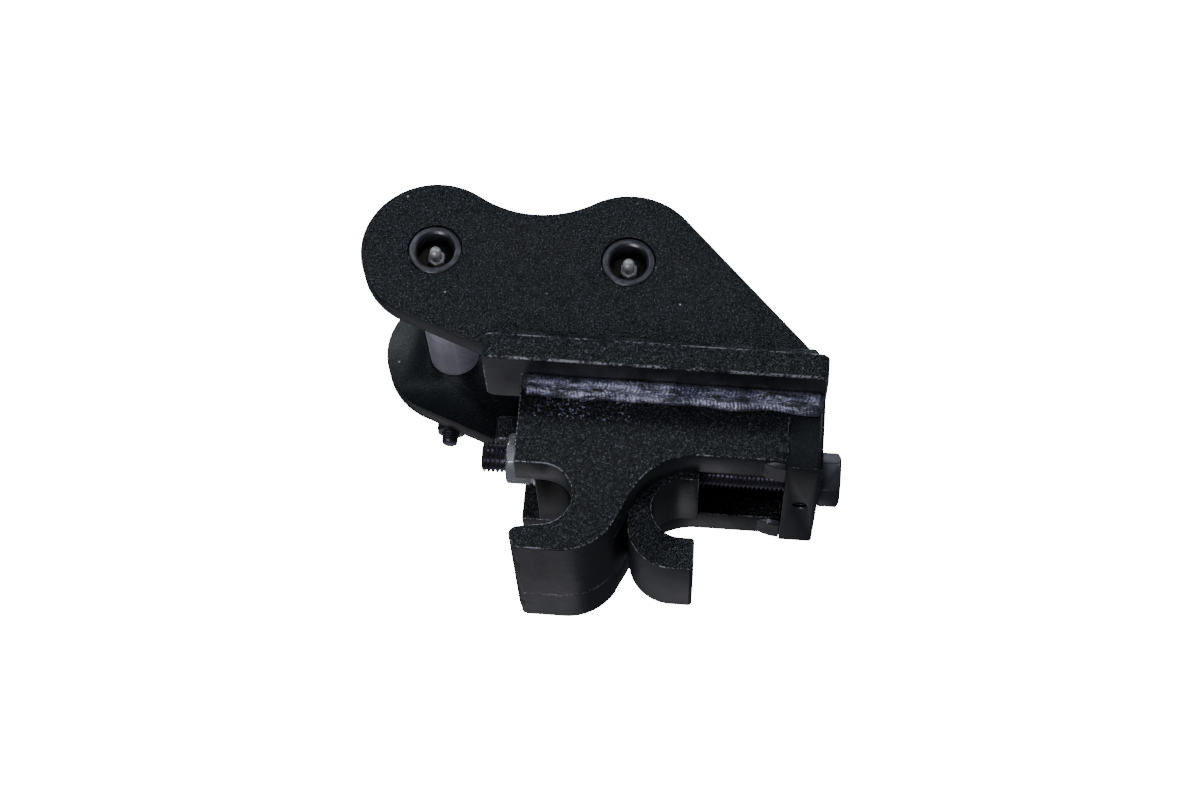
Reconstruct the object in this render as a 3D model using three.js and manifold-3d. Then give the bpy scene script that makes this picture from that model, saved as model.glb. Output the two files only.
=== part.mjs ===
// A screw-operated quick coupler for a small excavator, in millimetres, +Z up.
// X runs from the fixed hook at the front to the drive screw's head at the rear, and Y runs across.
// The origin is on the flat sole of the fixed hook, under the centre of its slot, on the mid-plane.

import * as THREE from 'three';
import { mergeVertices } from 'three/addons/utils/BufferGeometryUtils.js';
import Module from 'manifold-3d';

const wasm = await Module();
wasm.setup();

// Pins that hang the coupler on the stick and on the link
const pinDiameter = 30;
const pinHoleClearance = 1;
const pinSpacing = 108;
const pinHeight = 165;
const stickPinX = -70;
const pinChamfer = 1;
const greaseBoreDiameter = 21;
const greaseBoreDepth = 14;
const greaseBoreMouth = 1.2;
const greaseChannelDiameter = 6;
const nippleHex = 9;
const nippleBallDiameter = 6.5;
const nippleNeckDiameter = 4.6;

// Ears
const earGap = 120;
const earThickness = 14;
const earLobeRadius = 41.5;
const saddleRadius = 61;
const rearEdgeSlope = 45.8;
const frontEdgeSlope = 20.7;

// Collars on the far ear, with the bolts that hold the pins
const collarDiameter = 64;
const collarWidth = 24;
const collarChamfer = 2;
const pinBoltDiameter = 10;
const pinBoltClearance = 0.8;
const pinBoltLength = 80;
const pinBoltHex = 16;
const pinBoltHeadHeight = 6.4;
const pinNutHeight = 10;
const pinWasherDiameter = 20;
const pinWasherThickness = 2;

// Base bars under the ears
const barFront = -37;
const barRear = 151.5;
const barUnderside = 98;
const barThickness = 15;
const barProud = 8;
const barCornerRadius = 5;
const deckThickness = 12;

// Lower body: two side plates, the fixed hook's core and the end block
const bodyWidth = 110;
const channelWidth = 62;
const bodyFront = -16;
const slotHeight = 31.7;
const slotRadius = 17.5;
const slotFloorSlope = 9.3;
const hookTipX = -14.5;
const hookTipRadius = 5;
const hookToeX = -12.5;
const hookToeRadius = 3;
const hookBackRadius = 32.2;
const hookBackX = 12;
const archRadius = 38.5;
const archX = 85;
const channelEdgeHeight = 60;
const coreFront = -5.5;
const coreRear = 46.7;
const endBlockLength = 19;
const endBlockDrop = 3.5;
const endBlockCornerRadius = 3;

// Drive screw, an M18 bolt with its nut and washer; its solid is the thread's mean cylinder
const screwHeight = 73.5;
const screwDiameter = 18;
const screwThreadRelief = 1;
const screwHoleClearance = 1;
const screwHex = 27;
const screwHeadHeight = 12;
const screwHeadTurn = 15;
const screwNutHeight = 15.5;
const screwWasherDiameter = 30;
const screwWasherThickness = 3;
const screwEnd = 14.2;
const lockScrewDiameter = 10;
const lockScrewLength = 6;

// Moving jaw with its guide tongues, and the threaded nut block that drives it
const jawSideClearance = 1;
const jawFront = 48;
const jawRear = 85;
const jawSlotX = 77;
const jawSlotHeight = 38.6;
const jawSlotRadius = 17;
const jawBackRadius = 25.3;
const jawBackX = 73;
const jawSole = 3.2;
const jawTopClearance = 0.8;
const jawEdgeRadius = 2;
const tongueDepth = 6;
const tongueHeight = 10;
const tongueRise = 12;
const tongueClearance = 0.4;
const driveNutWidth = 27;
const driveNutLength = 18;

// Gaps
const weldGap = 0.3;
const seatGap = 0.3;

// Values that follow from the ones above
const linkPinX = stickPinX + pinSpacing;
const pinHoleDiameter = pinDiameter + pinHoleClearance;
const pinBoltHoleDiameter = pinBoltDiameter + pinBoltClearance;
const screwHoleDiameter = screwDiameter + screwHoleClearance;
const screwSolidDiameter = screwDiameter - screwThreadRelief;
const jawWidth = channelWidth - 2 * jawSideClearance;
const earInner = earGap / 2;
const earOuter = earInner + earThickness;
const bodyHalf = bodyWidth / 2;
const channelHalf = channelWidth / 2;
const barOuter = earOuter + barProud;
const barTop = barUnderside + barThickness;
const bodyTop = barUnderside - weldGap;
const endBlockFront = barRear - endBlockLength;
const jawTop = barUnderside - jawTopClearance;
const collarOuter = earOuter + weldGap + collarWidth;
const screwHeadX = barRear + seatGap;
const frontWasherX = coreFront - seatGap - screwWasherThickness;
const screwNutX = frontWasherX - seatGap - screwNutHeight;
const screwEndX = screwNutX - screwEnd;

const degrees = Math.PI / 180;
const roundSteps = 48;
const smallSteps = 24;
const arcSteps = 16;

const steel = (colour, roughness, metalness = 0.2) =>
  new THREE.MeshStandardMaterial({ color: colour, roughness, metalness });
const blackPaint = () => steel(0x17191c, 0.62);
const bareSteel = () => steel(0x77737c, 0.38, 0.9);
const zincSteel = () => steel(0xc9cbd0, 0.3, 0.95);
const blackOxide = () => steel(0x2b2930, 0.4, 0.8);

const coupler = new THREE.Group();

function addPart(name, geometry, material) {
  const mesh = new THREE.Mesh(geometry, material);
  mesh.name = name;
  coupler.add(mesh);
  return mesh;
}

// --- solids -------------------------------------------------------------------------------

function toSolid(geometry) {
  const bare = geometry.clone();
  bare.deleteAttribute('normal');
  bare.deleteAttribute('uv');
  const merged = mergeVertices(bare, 1e-4);
  return new wasm.Manifold(new wasm.Mesh({
    numProp: 3,
    vertProperties: new Float32Array(merged.attributes.position.array),
    triVerts: new Uint32Array(merged.index.array),
  }));
}

function toGeometry(solid) {
  const mesh = solid.getMesh();
  const geometry = new THREE.BufferGeometry();
  geometry.setAttribute('position', new THREE.BufferAttribute(mesh.vertProperties, mesh.numProp));
  geometry.setIndex(new THREE.BufferAttribute(mesh.triVerts, 1));
  geometry.computeVertexNormals();
  return geometry;
}

function cut(body, ...tools) {
  const left = tools.reduce((solid, tool) => solid.subtract(toSolid(tool)), toSolid(body));
  return toGeometry(left);
}

function join(...bodies) {
  const solids = bodies.map(toSolid);
  return toGeometry(solids.reduce((whole, solid) => whole.add(solid)));
}

// A box between two corners
function block(low, high) {
  const size = high.map((value, i) => value - low[i]);
  const middle = high.map((value, i) => (value + low[i]) / 2);
  return new THREE.BoxGeometry(...size).translate(...middle);
}

// An outline in X and Z, given thickness along Y
function plate(outline, yLow, yHigh) {
  const geometry = new THREE.ExtrudeGeometry(outline, {
    depth: yHigh - yLow, bevelEnabled: false, curveSegments: arcSteps,
  });
  return geometry.rotateX(Math.PI / 2).translate(0, yHigh, 0);
}

// An outline in X and Y, given height along Z
function slab(outline, zLow, zHigh) {
  const geometry = new THREE.ExtrudeGeometry(outline, {
    depth: zHigh - zLow, bevelEnabled: false, curveSegments: 4,
  });
  return geometry.translate(0, 0, zLow);
}

// A turned piece: its profile holds pairs of radius and distance along its axis
function turned(profile, steps = roundSteps) {
  return new THREE.LatheGeometry(profile.map(([r, along]) => new THREE.Vector2(r, along)), steps);
}

function rod(diameter, low, high, steps = roundSteps) {
  const r = diameter / 2;
  return turned([[0, low], [r, low], [r, high], [0, high]], steps);
}

// A hexagonal prism along Y with its corners turned off at one or both ends
function hexagon(acrossFlats, low, high, chamferLow, chamferHigh) {
  const corner = acrossFlats / Math.sqrt(3);
  const prism = new THREE.CylinderGeometry(corner, corner, high - low, 6)
    .translate(0, (low + high) / 2, 0);
  const face = acrossFlats * 0.475;
  const drop = (corner - face) * Math.tan(30 * degrees);
  const outer = corner + 1;
  const slope = (outer - face) * Math.tan(30 * degrees);
  const profile = [[0, low - 1], [chamferLow ? face : outer, low - (chamferLow ? 0 : 1)]];
  if (chamferLow) profile.push([outer, low + slope]);
  if (chamferHigh) profile.push([outer, high - slope]);
  profile.push([chamferHigh ? face : outer, high + (chamferHigh ? 0 : 1)], [0, high + 1]);
  if (drop > (high - low) / 2) return toSolid(prism);
  return toSolid(prism).intersect(toSolid(turned(profile, roundSteps)));
}

const alongX = (geometry) => geometry.rotateZ(-Math.PI / 2);
const alongZ = (geometry) => geometry.rotateX(Math.PI / 2);

function rectangle(xLow, yLow, xHigh, yHigh, radius) {
  const shape = new THREE.Shape();
  shape.moveTo(xLow + radius, yLow);
  shape.lineTo(xHigh - radius, yLow);
  shape.absarc(xHigh - radius, yLow + radius, radius, -Math.PI / 2, 0, false);
  shape.lineTo(xHigh, yHigh - radius);
  shape.absarc(xHigh - radius, yHigh - radius, radius, 0, Math.PI / 2, false);
  shape.lineTo(xLow + radius, yHigh);
  shape.absarc(xLow + radius, yHigh - radius, radius, Math.PI / 2, Math.PI, false);
  shape.lineTo(xLow, yLow + radius);
  shape.absarc(xLow + radius, yLow + radius, radius, Math.PI, 1.5 * Math.PI, false);
  return shape;
}

// --- ears and their pins ------------------------------------------------------------------

function earOutline() {
  const front = frontEdgeSlope * degrees;
  const rear = rearEdgeSlope * degrees;
  const foot = barTop + weldGap;
  const saddleRise = Math.sqrt((earLobeRadius + saddleRadius) ** 2 - (pinSpacing / 2) ** 2);
  const meet = Math.atan2(saddleRise, pinSpacing / 2);
  const heelX = linkPinX + earLobeRadius * Math.sin(rear);
  const heelZ = pinHeight + earLobeRadius * Math.cos(rear);
  const toeX = barFront - weldGap;
  const chinX = stickPinX - earLobeRadius * Math.sin(front);
  const chinZ = pinHeight - earLobeRadius * Math.cos(front);
  const shape = new THREE.Shape();
  shape.moveTo(toeX, foot);
  shape.lineTo(heelX + (heelZ - foot) / Math.tan(rear), foot);
  shape.lineTo(heelX, heelZ);
  shape.absarc(linkPinX, pinHeight, earLobeRadius, Math.PI / 2 - rear, Math.PI - meet, false);
  const middle = (stickPinX + linkPinX) / 2;
  shape.absarc(middle, pinHeight + saddleRise, saddleRadius, -meet, meet - Math.PI, true);
  shape.absarc(stickPinX, pinHeight, earLobeRadius, meet, 1.5 * Math.PI - front, false);
  shape.lineTo(toeX, chinZ - (toeX - chinX) * Math.tan(front));
  return shape;
}

function ear(yLow, yHigh) {
  const outline = earOutline();
  for (const x of [stickPinX, linkPinX]) {
    const hole = new THREE.Path();
    hole.absarc(x, pinHeight, pinHoleDiameter / 2, 0, 2 * Math.PI, true);
    outline.holes.push(hole);
  }
  return plate(outline, yLow, yHigh);
}

addPart('ear_near', ear(-earOuter, -earInner), blackPaint());
addPart('ear_far', ear(earInner, earOuter), blackPaint());

// A pin lies along Y, flush with the near ear, bored for grease and cross-drilled for its bolt
function pin() {
  const r = pinDiameter / 2;
  const bore = greaseBoreDiameter / 2;
  const mouth = bore + greaseBoreMouth;
  const channel = greaseChannelDiameter / 2;
  const near = -earOuter;
  const body = turned([
    [0, near + greaseBoreDepth + nippleHex + 85], [channel, near + greaseBoreDepth + nippleHex + 85],
    [channel, near + greaseBoreDepth], [bore, near + greaseBoreDepth],
    [bore, near + greaseBoreMouth], [mouth, near],
    [r - pinChamfer, near], [r, near + pinChamfer],
    [r, collarOuter - pinChamfer], [r - pinChamfer, collarOuter], [0, collarOuter],
  ]);
  const boltHole = alongZ(rod(pinBoltHoleDiameter, -pinDiameter, pinDiameter, smallSteps));
  const outlet = alongZ(rod(greaseChannelDiameter - 1, 0, pinDiameter, smallSteps));
  boltHole.translate(0, earOuter + weldGap + collarWidth / 2, 0);
  return cut(body, boltHole, outlet);
}

// A grease nipple screwed into the floor of the pin's bore, its ball level with the pin's end
function nipple() {
  const neck = nippleNeckDiameter / 2;
  const ball = nippleBallDiameter / 2;
  const floor = greaseBoreDepth - seatGap;
  const hexEnd = floor - 4.5;
  const ballTurn = [];
  for (let i = 0; i <= 8; i += 1) {
    const angle = (-55 + i * 17.5) * degrees;
    ballTurn.push([Math.max(ball * Math.cos(angle), 0.9), ball - ball * Math.sin(angle)]);
  }
  const stem = turned([
    [0, floor - 1], [neck, floor - 1], ...ballTurn, [0, 0],
  ].reverse(), smallSteps);
  return toGeometry(toSolid(stem).add(hexagon(nippleHex, hexEnd, floor, true, false)));
}

// Half the width of a collar's flats, where a bolt's head and nut seat, and their height
const seatHalf = pinWasherDiameter / 2 + 1;
const collarFlat = Math.sqrt((collarDiameter / 2) ** 2 - seatHalf ** 2);

function collar() {
  const r = collarDiameter / 2;
  const hole = pinHoleDiameter / 2;
  const low = earOuter + weldGap;
  const body = turned([
    [hole, low], [r, low], [r, collarOuter - collarChamfer], [r - collarChamfer, collarOuter],
    [hole + 1, collarOuter], [hole, collarOuter - 1], [hole, low],
  ]);
  const boltHole = alongZ(rod(pinBoltHoleDiameter, -collarDiameter, collarDiameter, smallSteps));
  const boltY = low + collarWidth / 2;
  const flat = block([-r, boltY - seatHalf, collarFlat], [r, collarOuter + 1, r + 1]);
  const lowerFlat = flat.clone().rotateY(Math.PI);
  return cut(body, boltHole.translate(0, boltY, 0), flat, lowerFlat);
}

function pinBolt() {
  const seat = collarFlat + seatGap;
  const r = pinBoltDiameter / 2;
  const shank = turned([
    [0, seat - pinBoltLength], [r - 1, seat - pinBoltLength], [r, seat - pinBoltLength + 1],
    [r, seat + 1], [0, seat + 1],
  ], smallSteps);
  const head = hexagon(pinBoltHex, seat, seat + pinBoltHeadHeight, false, true);
  return alongZ(toGeometry(toSolid(shank).add(head)));
}

function ring(inner, outer, low, high, steps = smallSteps) {
  return turned([[inner, low], [outer, low], [outer, high], [inner, high], [inner, low]], steps);
}

function pinBoltNut() {
  const top = -collarFlat - seatGap - pinWasherThickness - seatGap;
  const body = hexagon(pinBoltHex, top - pinNutHeight, top, true, true);
  const hole = rod(pinBoltHoleDiameter, top - pinNutHeight - 1, top + 1, smallSteps);
  return alongZ(toGeometry(body.subtract(toSolid(hole))));
}

function pinBoltWasher() {
  const top = -collarFlat - seatGap;
  return alongZ(ring(pinBoltHoleDiameter / 2, pinWasherDiameter / 2, top - pinWasherThickness, top));
}

for (const [name, x] of [['stick_pin', stickPinX], ['link_pin', linkPinX]]) {
  const boltY = earOuter + weldGap + collarWidth / 2;
  addPart(name, pin(), bareSteel()).position.set(x, 0, pinHeight);
  addPart(`${name}_nipple`, nipple(), zincSteel()).position.set(x, -earOuter, pinHeight);
  addPart(`${name}_collar`, collar(), blackPaint()).position.set(x, 0, pinHeight);
  addPart(`${name}_bolt`, pinBolt(), blackOxide()).position.set(x, boltY, pinHeight);
  addPart(`${name}_bolt_washer`, pinBoltWasher(), blackOxide()).position.set(x, boltY, pinHeight);
  addPart(`${name}_bolt_nut`, pinBoltNut(), blackOxide()).position.set(x, boltY, pinHeight);
}

// --- base bars and deck -------------------------------------------------------------------

const bar = rectangle(barFront, channelHalf, barRear, barOuter, barCornerRadius);
const mirroredBar = rectangle(barFront, -barOuter, barRear, -channelHalf, barCornerRadius);
addPart('base_bar_near', slab(mirroredBar, barUnderside, barTop), blackPaint());
addPart('base_bar_far', slab(bar, barUnderside, barTop), blackPaint());

const deckHalf = channelHalf - weldGap;
addPart('deck_plate', block(
  [bodyFront, -deckHalf, barUnderside], [barRear, deckHalf, barUnderside + deckThickness],
), blackPaint());

// --- lower body ---------------------------------------------------------------------------

// Angle on the first circle at which a line crosses over to the inside of the second
function crossingAngle(x1, z1, r1, x2, z2, r2) {
  const apart = Math.hypot(x2 - x1, z2 - z1);
  return Math.atan2(z2 - z1, x2 - x1) - Math.acos((r1 + r2) / apart);
}

// The fixed hook from its front face, round its slot and its tip, along its sole and up its back
function hookFront(shape, frontX) {
  const slope = slotFloorSlope * degrees;
  shape.moveTo(frontX, bodyTop);
  shape.lineTo(frontX, slotHeight + slotRadius);
  shape.absarc(0, slotHeight, slotRadius, Math.PI / 2, slope - Math.PI / 2, true);
  const floorX = -slotRadius * Math.sin(-slope);
  const floorZ = slotHeight - slotRadius * Math.cos(slope);
  const tipX = hookTipX + hookTipRadius;
  const tipZ = floorZ - (floorX - tipX) * Math.tan(slope) - hookTipRadius / Math.cos(slope);
  shape.absarc(tipX, tipZ, hookTipRadius, Math.PI / 2 + slope, Math.PI, false);
  shape.absarc(hookToeX + hookToeRadius, hookToeRadius, hookToeRadius, Math.PI, 1.5 * Math.PI, false);
}

const archZ = channelEdgeHeight - archRadius;
const backAngle = crossingAngle(
  hookBackX, hookBackRadius, hookBackRadius, archX, archZ, archRadius,
);

function sidePlate(yLow, yHigh) {
  const shape = new THREE.Shape();
  hookFront(shape, bodyFront);
  shape.absarc(hookBackX, hookBackRadius, hookBackRadius, -Math.PI / 2, backAngle, false);
  shape.absarc(archX, archZ, archRadius, Math.PI + backAngle, Math.PI / 2, true);
  shape.lineTo(endBlockFront - weldGap, channelEdgeHeight);
  shape.lineTo(endBlockFront - weldGap, bodyTop);
  return plate(shape, yLow, yHigh);
}

// The groove in a side plate's inner face that carries the jaw's tongue
const tongueLow = channelEdgeHeight + tongueRise;
const grooveLow = tongueLow - tongueClearance;
const grooveHigh = tongueLow + tongueHeight + tongueClearance;
const grooveHalf = channelHalf + tongueDepth + tongueClearance;
const groove = block(
  [coreRear, -grooveHalf, grooveLow], [endBlockFront + 1, grooveHalf, grooveHigh],
);

addPart('side_plate_near', cut(sidePlate(-bodyHalf, -channelHalf), groove), blackPaint());
addPart('side_plate_far', cut(sidePlate(channelHalf, bodyHalf), groove), blackPaint());

function hookCore() {
  const half = channelHalf - weldGap;
  const shape = new THREE.Shape();
  hookFront(shape, coreFront);
  shape.absarc(hookBackX, hookBackRadius, hookBackRadius, -Math.PI / 2, backAngle, false);
  const leaveX = hookBackX + hookBackRadius * Math.cos(backAngle);
  const leaveZ = hookBackRadius + hookBackRadius * Math.sin(backAngle);
  shape.lineTo(coreRear, leaveZ - (coreRear - leaveX) / Math.tan(backAngle));
  shape.lineTo(coreRear, bodyTop);
  const hole = alongX(rod(screwHoleDiameter, coreFront - 1, coreRear + 1));
  return cut(plate(shape, -half, half), hole.translate(0, 0, screwHeight));
}

addPart('hook_core', hookCore(), blackPaint());

function endBlock() {
  const low = channelEdgeHeight - endBlockDrop;
  const r = endBlockCornerRadius;
  const outline = new THREE.Shape();
  outline.moveTo(endBlockFront, -bodyHalf);
  outline.lineTo(barRear - r, -bodyHalf);
  outline.absarc(barRear - r, r - bodyHalf, r, -Math.PI / 2, 0, false);
  outline.lineTo(barRear, bodyHalf - r);
  outline.absarc(barRear - r, bodyHalf - r, r, 0, Math.PI / 2, false);
  outline.lineTo(endBlockFront, bodyHalf);
  const hole = alongX(rod(screwHoleDiameter, endBlockFront - 1, barRear + 1));
  const tapped = alongZ(rod(lockScrewDiameter, low - 1, screwHeight, smallSteps));
  tapped.translate(endBlockFront + endBlockLength / 2, 0, 0);
  return cut(slab(outline, low, bodyTop), hole.translate(0, 0, screwHeight), tapped);
}

addPart('end_block', endBlock(), blackPaint());

// --- drive screw --------------------------------------------------------------------------

function driveScrew() {
  const r = screwSolidDiameter / 2;
  const headFace = screwHeadX;
  const shank = turned([
    [0, screwEndX], [r - 1.5, screwEndX], [r, screwEndX + 1.5], [r, headFace + 1], [0, headFace + 1],
  ], roundSteps);
  const head = hexagon(screwHex, headFace, headFace + screwHeadHeight, false, true);
  return alongX(toGeometry(toSolid(shank).add(head))).rotateX(screwHeadTurn * degrees);
}

function hexNut(acrossFlats, bore, low, high) {
  const body = hexagon(acrossFlats, low, high, true, true);
  return toGeometry(body.subtract(toSolid(rod(bore, low - 1, high + 1))));
}

const screwBore = screwDiameter;
addPart('drive_screw', driveScrew(), blackOxide()).position.z = screwHeight;
addPart('screw_nut', alongX(
  hexNut(screwHex, screwBore, screwNutX, screwNutX + screwNutHeight),
), zincSteel()).position.z = screwHeight;
addPart('front_washer', alongX(ring(
  screwHoleDiameter / 2, screwWasherDiameter / 2, frontWasherX, frontWasherX + screwWasherThickness,
)), zincSteel()).position.z = screwHeight;

function lockSetScrew() {
  const r = lockScrewDiameter / 2 - seatGap;
  const top = screwHeight - screwDiameter / 2 - seatGap;
  const low = top - lockScrewLength;
  const body = turned([
    [0, low], [r - 0.8, low], [r, low + 0.8], [r, top - 0.8], [r - 0.8, top], [0, top],
  ], smallSteps);
  const socket = new THREE.CylinderGeometry(2.89, 2.89, 10, 6).translate(0, low, 0);
  return alongZ(toGeometry(toSolid(body).subtract(toSolid(socket))));
}

addPart('lock_set_screw', lockSetScrew(), blackOxide())
  .position.x = endBlockFront + endBlockLength / 2;

// --- moving jaw ---------------------------------------------------------------------------

function jawOutline() {
  const backZ = jawSole + jawBackRadius;
  const leave = Math.PI - Math.acos((jawBackX - jawFront) / jawBackRadius);
  const lipTop = jawSlotHeight - jawSlotRadius;
  const shape = new THREE.Shape();
  shape.moveTo(jawFront, jawTop);
  shape.lineTo(jawFront, backZ + jawBackRadius * Math.sin(leave));
  shape.absarc(jawBackX, backZ, jawBackRadius, leave, 1.5 * Math.PI, false);
  shape.absarc(jawRear - jawEdgeRadius, jawSole + jawEdgeRadius, jawEdgeRadius,
    1.5 * Math.PI, 2 * Math.PI, false);
  shape.absarc(jawRear - jawEdgeRadius, lipTop - jawEdgeRadius, jawEdgeRadius,
    0, Math.PI / 2, false);
  shape.absarc(jawSlotX, jawSlotHeight, jawSlotRadius, 1.5 * Math.PI, Math.PI / 2, true);
  shape.lineTo(jawRear, jawSlotHeight + jawSlotRadius);
  shape.lineTo(jawRear, jawTop);
  return shape;
}

function movingJaw() {
  const half = jawWidth / 2;
  const reach = channelHalf + tongueDepth - seatGap;
  const pocket = driveNutWidth / 2 + seatGap;
  const body = plate(jawOutline(), -half, half);
  const tongues = block([jawFront, -reach, tongueLow], [jawRear, reach, tongueLow + tongueHeight]);
  const hole = alongX(rod(screwHoleDiameter, jawFront - 1, jawRear + 1));
  const nutSlot = block(
    [jawFront - 1, -pocket, screwHeight - pocket],
    [jawFront + driveNutLength + seatGap, pocket, screwHeight + pocket],
  );
  return cut(join(body, tongues), hole.translate(0, 0, screwHeight), nutSlot);
}

addPart('moving_jaw', movingJaw(), blackPaint());

function driveNut() {
  const half = driveNutWidth / 2;
  const body = block([jawFront, -half, -half], [jawFront + driveNutLength, half, half]);
  return cut(body, alongX(rod(screwBore, jawFront - 1, jawFront + driveNutLength + 1)));
}

addPart('drive_nut', driveNut(), bareSteel()).position.z = screwHeight;

export default coupler;
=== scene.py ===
import math

import bmesh
import bpy
from mathutils import Matrix, Vector, noise


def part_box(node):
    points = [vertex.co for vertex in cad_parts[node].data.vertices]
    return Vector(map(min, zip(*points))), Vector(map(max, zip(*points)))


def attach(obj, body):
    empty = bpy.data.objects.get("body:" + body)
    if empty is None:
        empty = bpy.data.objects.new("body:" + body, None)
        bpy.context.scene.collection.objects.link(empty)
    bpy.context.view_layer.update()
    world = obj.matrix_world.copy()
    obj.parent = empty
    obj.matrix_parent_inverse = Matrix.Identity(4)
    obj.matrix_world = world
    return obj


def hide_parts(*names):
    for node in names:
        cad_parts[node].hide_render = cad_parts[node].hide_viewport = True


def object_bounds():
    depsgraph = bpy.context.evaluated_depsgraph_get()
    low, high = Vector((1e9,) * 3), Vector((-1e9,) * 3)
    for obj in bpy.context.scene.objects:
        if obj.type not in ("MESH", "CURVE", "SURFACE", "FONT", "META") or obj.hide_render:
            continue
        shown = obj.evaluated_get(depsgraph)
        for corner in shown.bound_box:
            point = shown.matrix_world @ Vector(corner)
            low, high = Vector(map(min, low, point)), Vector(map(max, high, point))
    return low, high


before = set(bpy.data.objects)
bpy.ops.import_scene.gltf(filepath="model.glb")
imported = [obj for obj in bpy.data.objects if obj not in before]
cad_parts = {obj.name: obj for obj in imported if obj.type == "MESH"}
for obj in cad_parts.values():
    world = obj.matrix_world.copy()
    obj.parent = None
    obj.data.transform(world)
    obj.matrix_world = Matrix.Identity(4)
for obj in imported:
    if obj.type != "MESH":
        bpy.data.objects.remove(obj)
cad_low, cad_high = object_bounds()
mm = 0.001

# Studio. A white tent with soft lamps round it, and a pale floor that shows only from above, so that
# the coupler can be looked at from below the floor, up under its hooks, as a buyer turns it over.
camera_data = bpy.data.cameras.new("camera")
camera_data.lens, camera_data.sensor_width = 68.05, 36.0
camera_data.clip_start, camera_data.clip_end = 0.05, 60.0
camera = bpy.data.objects.new("camera", camera_data)
bpy.context.collection.objects.link(camera)
bpy.context.scene.camera = camera
yaw, pitch, roll = (math.radians(a) for a in (3.5358, 23.8718, 5.2629))
forward = Vector((-math.sin(yaw) * math.cos(pitch), math.cos(yaw) * math.cos(pitch), math.sin(pitch)))
level = Vector((math.cos(yaw), math.sin(yaw), 0.0))
over = level.cross(forward)
right = math.cos(roll) * level + math.sin(roll) * over
up = math.cos(roll) * over - math.sin(roll) * level
camera.matrix_world = Matrix.LocRotScale(
    Vector((0.0982, -1.1892, -0.4141)), Matrix((right, up, -forward)).transposed(), None)


def shader_material(name):
    """A new material with only its output and a Principled shader."""
    made = bpy.data.materials.new(name)
    made.use_nodes = True
    return made, made.node_tree, made.node_tree.nodes["Principled BSDF"]


floor_gap = 0.0005
floor_paint, tree, shader = shader_material("studio_floor")
shader.inputs["Base Color"].default_value = (0.90, 0.85, 0.80, 1.0)
shader.inputs["Roughness"].default_value = 0.9
shader.inputs["Emission Color"].default_value = (1.0, 1.0, 1.0, 1.0)
shader.inputs["Emission Strength"].default_value = 0.45
clear = tree.nodes.new("ShaderNodeBsdfTransparent")
facing = tree.nodes.new("ShaderNodeNewGeometry")
either = tree.nodes.new("ShaderNodeMixShader")
tree.links.new(facing.outputs["Backfacing"], either.inputs["Fac"])
tree.links.new(shader.outputs["BSDF"], either.inputs[1])
tree.links.new(clear.outputs["BSDF"], either.inputs[2])
tree.links.new(either.outputs["Shader"], tree.nodes["Material Output"].inputs["Surface"])
bpy.ops.mesh.primitive_plane_add(size=30.0, location=(0.0, 0.0, cad_low.z - floor_gap))
floor = bpy.context.object
floor.name = "floor"
floor.data.materials.append(floor_paint)
floor.visible_diffuse = floor.visible_glossy = floor.visible_shadow = False

world = bpy.data.worlds.new("tent")
bpy.context.scene.world = world
world.use_nodes = True
tree = world.node_tree
tent = tree.nodes["Background"]
tent.inputs["Color"].default_value = (0.78, 0.88, 1.0, 1.0)
tent.inputs["Strength"].default_value = 0.06
backdrop = tree.nodes.new("ShaderNodeBackground")
backdrop.inputs["Color"].default_value = (1.0, 1.0, 1.0, 1.0)
backdrop.inputs["Strength"].default_value = 20.0
ray = tree.nodes.new("ShaderNodeLightPath")
either = tree.nodes.new("ShaderNodeMixShader")
tree.links.new(ray.outputs["Is Camera Ray"], either.inputs["Fac"])
tree.links.new(tent.outputs["Background"], either.inputs[1])
tree.links.new(backdrop.outputs["Background"], either.inputs[2])
tree.links.new(either.outputs["Shader"], tree.nodes["World Output"].inputs["Surface"])

centre = (cad_low + cad_high) / 2
for name, place, size, watts, colour in [
    ("lamp_over_left", (-1.2, -1.3, 1.2), 0.30, 12.5, (0.84, 0.92, 1.0)),
    ("lamp_over_right", (1.3, -1.2, 1.0), 0.30, 6.5, (0.84, 0.92, 1.0)),
    ("lamp_front", (0.1, -2.2, 0.7), 1.2, 3.6, (0.84, 0.92, 1.0)),
    ("lamp_below", (-0.6, -0.9, -1.4), 0.6, 9.0, (0.92, 0.92, 1.0)),
    ("lamp_behind_low", (-0.5, 1.9, -0.8), 1.7, 2.6, (0.95, 0.92, 1.0)),
    ("lamp_top", (0.1, 0.6, 2.0), 1.2, 2.6, (0.84, 0.92, 1.0)),
    ("lamp_behind", (-0.9, 1.7, 1.6), 0.8, 26.0, (0.95, 0.97, 1.0)),
]:
    lamp_data = bpy.data.lights.new(name, "AREA")
    lamp_data.size, lamp_data.energy = size, watts
    lamp_data.color = colour
    lamp = bpy.data.objects.new(name, lamp_data)
    lamp.location = place
    lamp.rotation_euler = (centre - Vector(place)).to_track_quat("-Z", "Y").to_euler()
    lamp.visible_camera = False
    bpy.context.collection.objects.link(lamp)

# Painted steel. Hot-rolled plate under one thick coat of sandy black: the rolled faces, which are the upright
# ones, keep the coarse grain, with painted glints in it, and the flame-cut edges and undersides are smoother,
# with fine draw lines and a lighter painted sheen.


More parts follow.
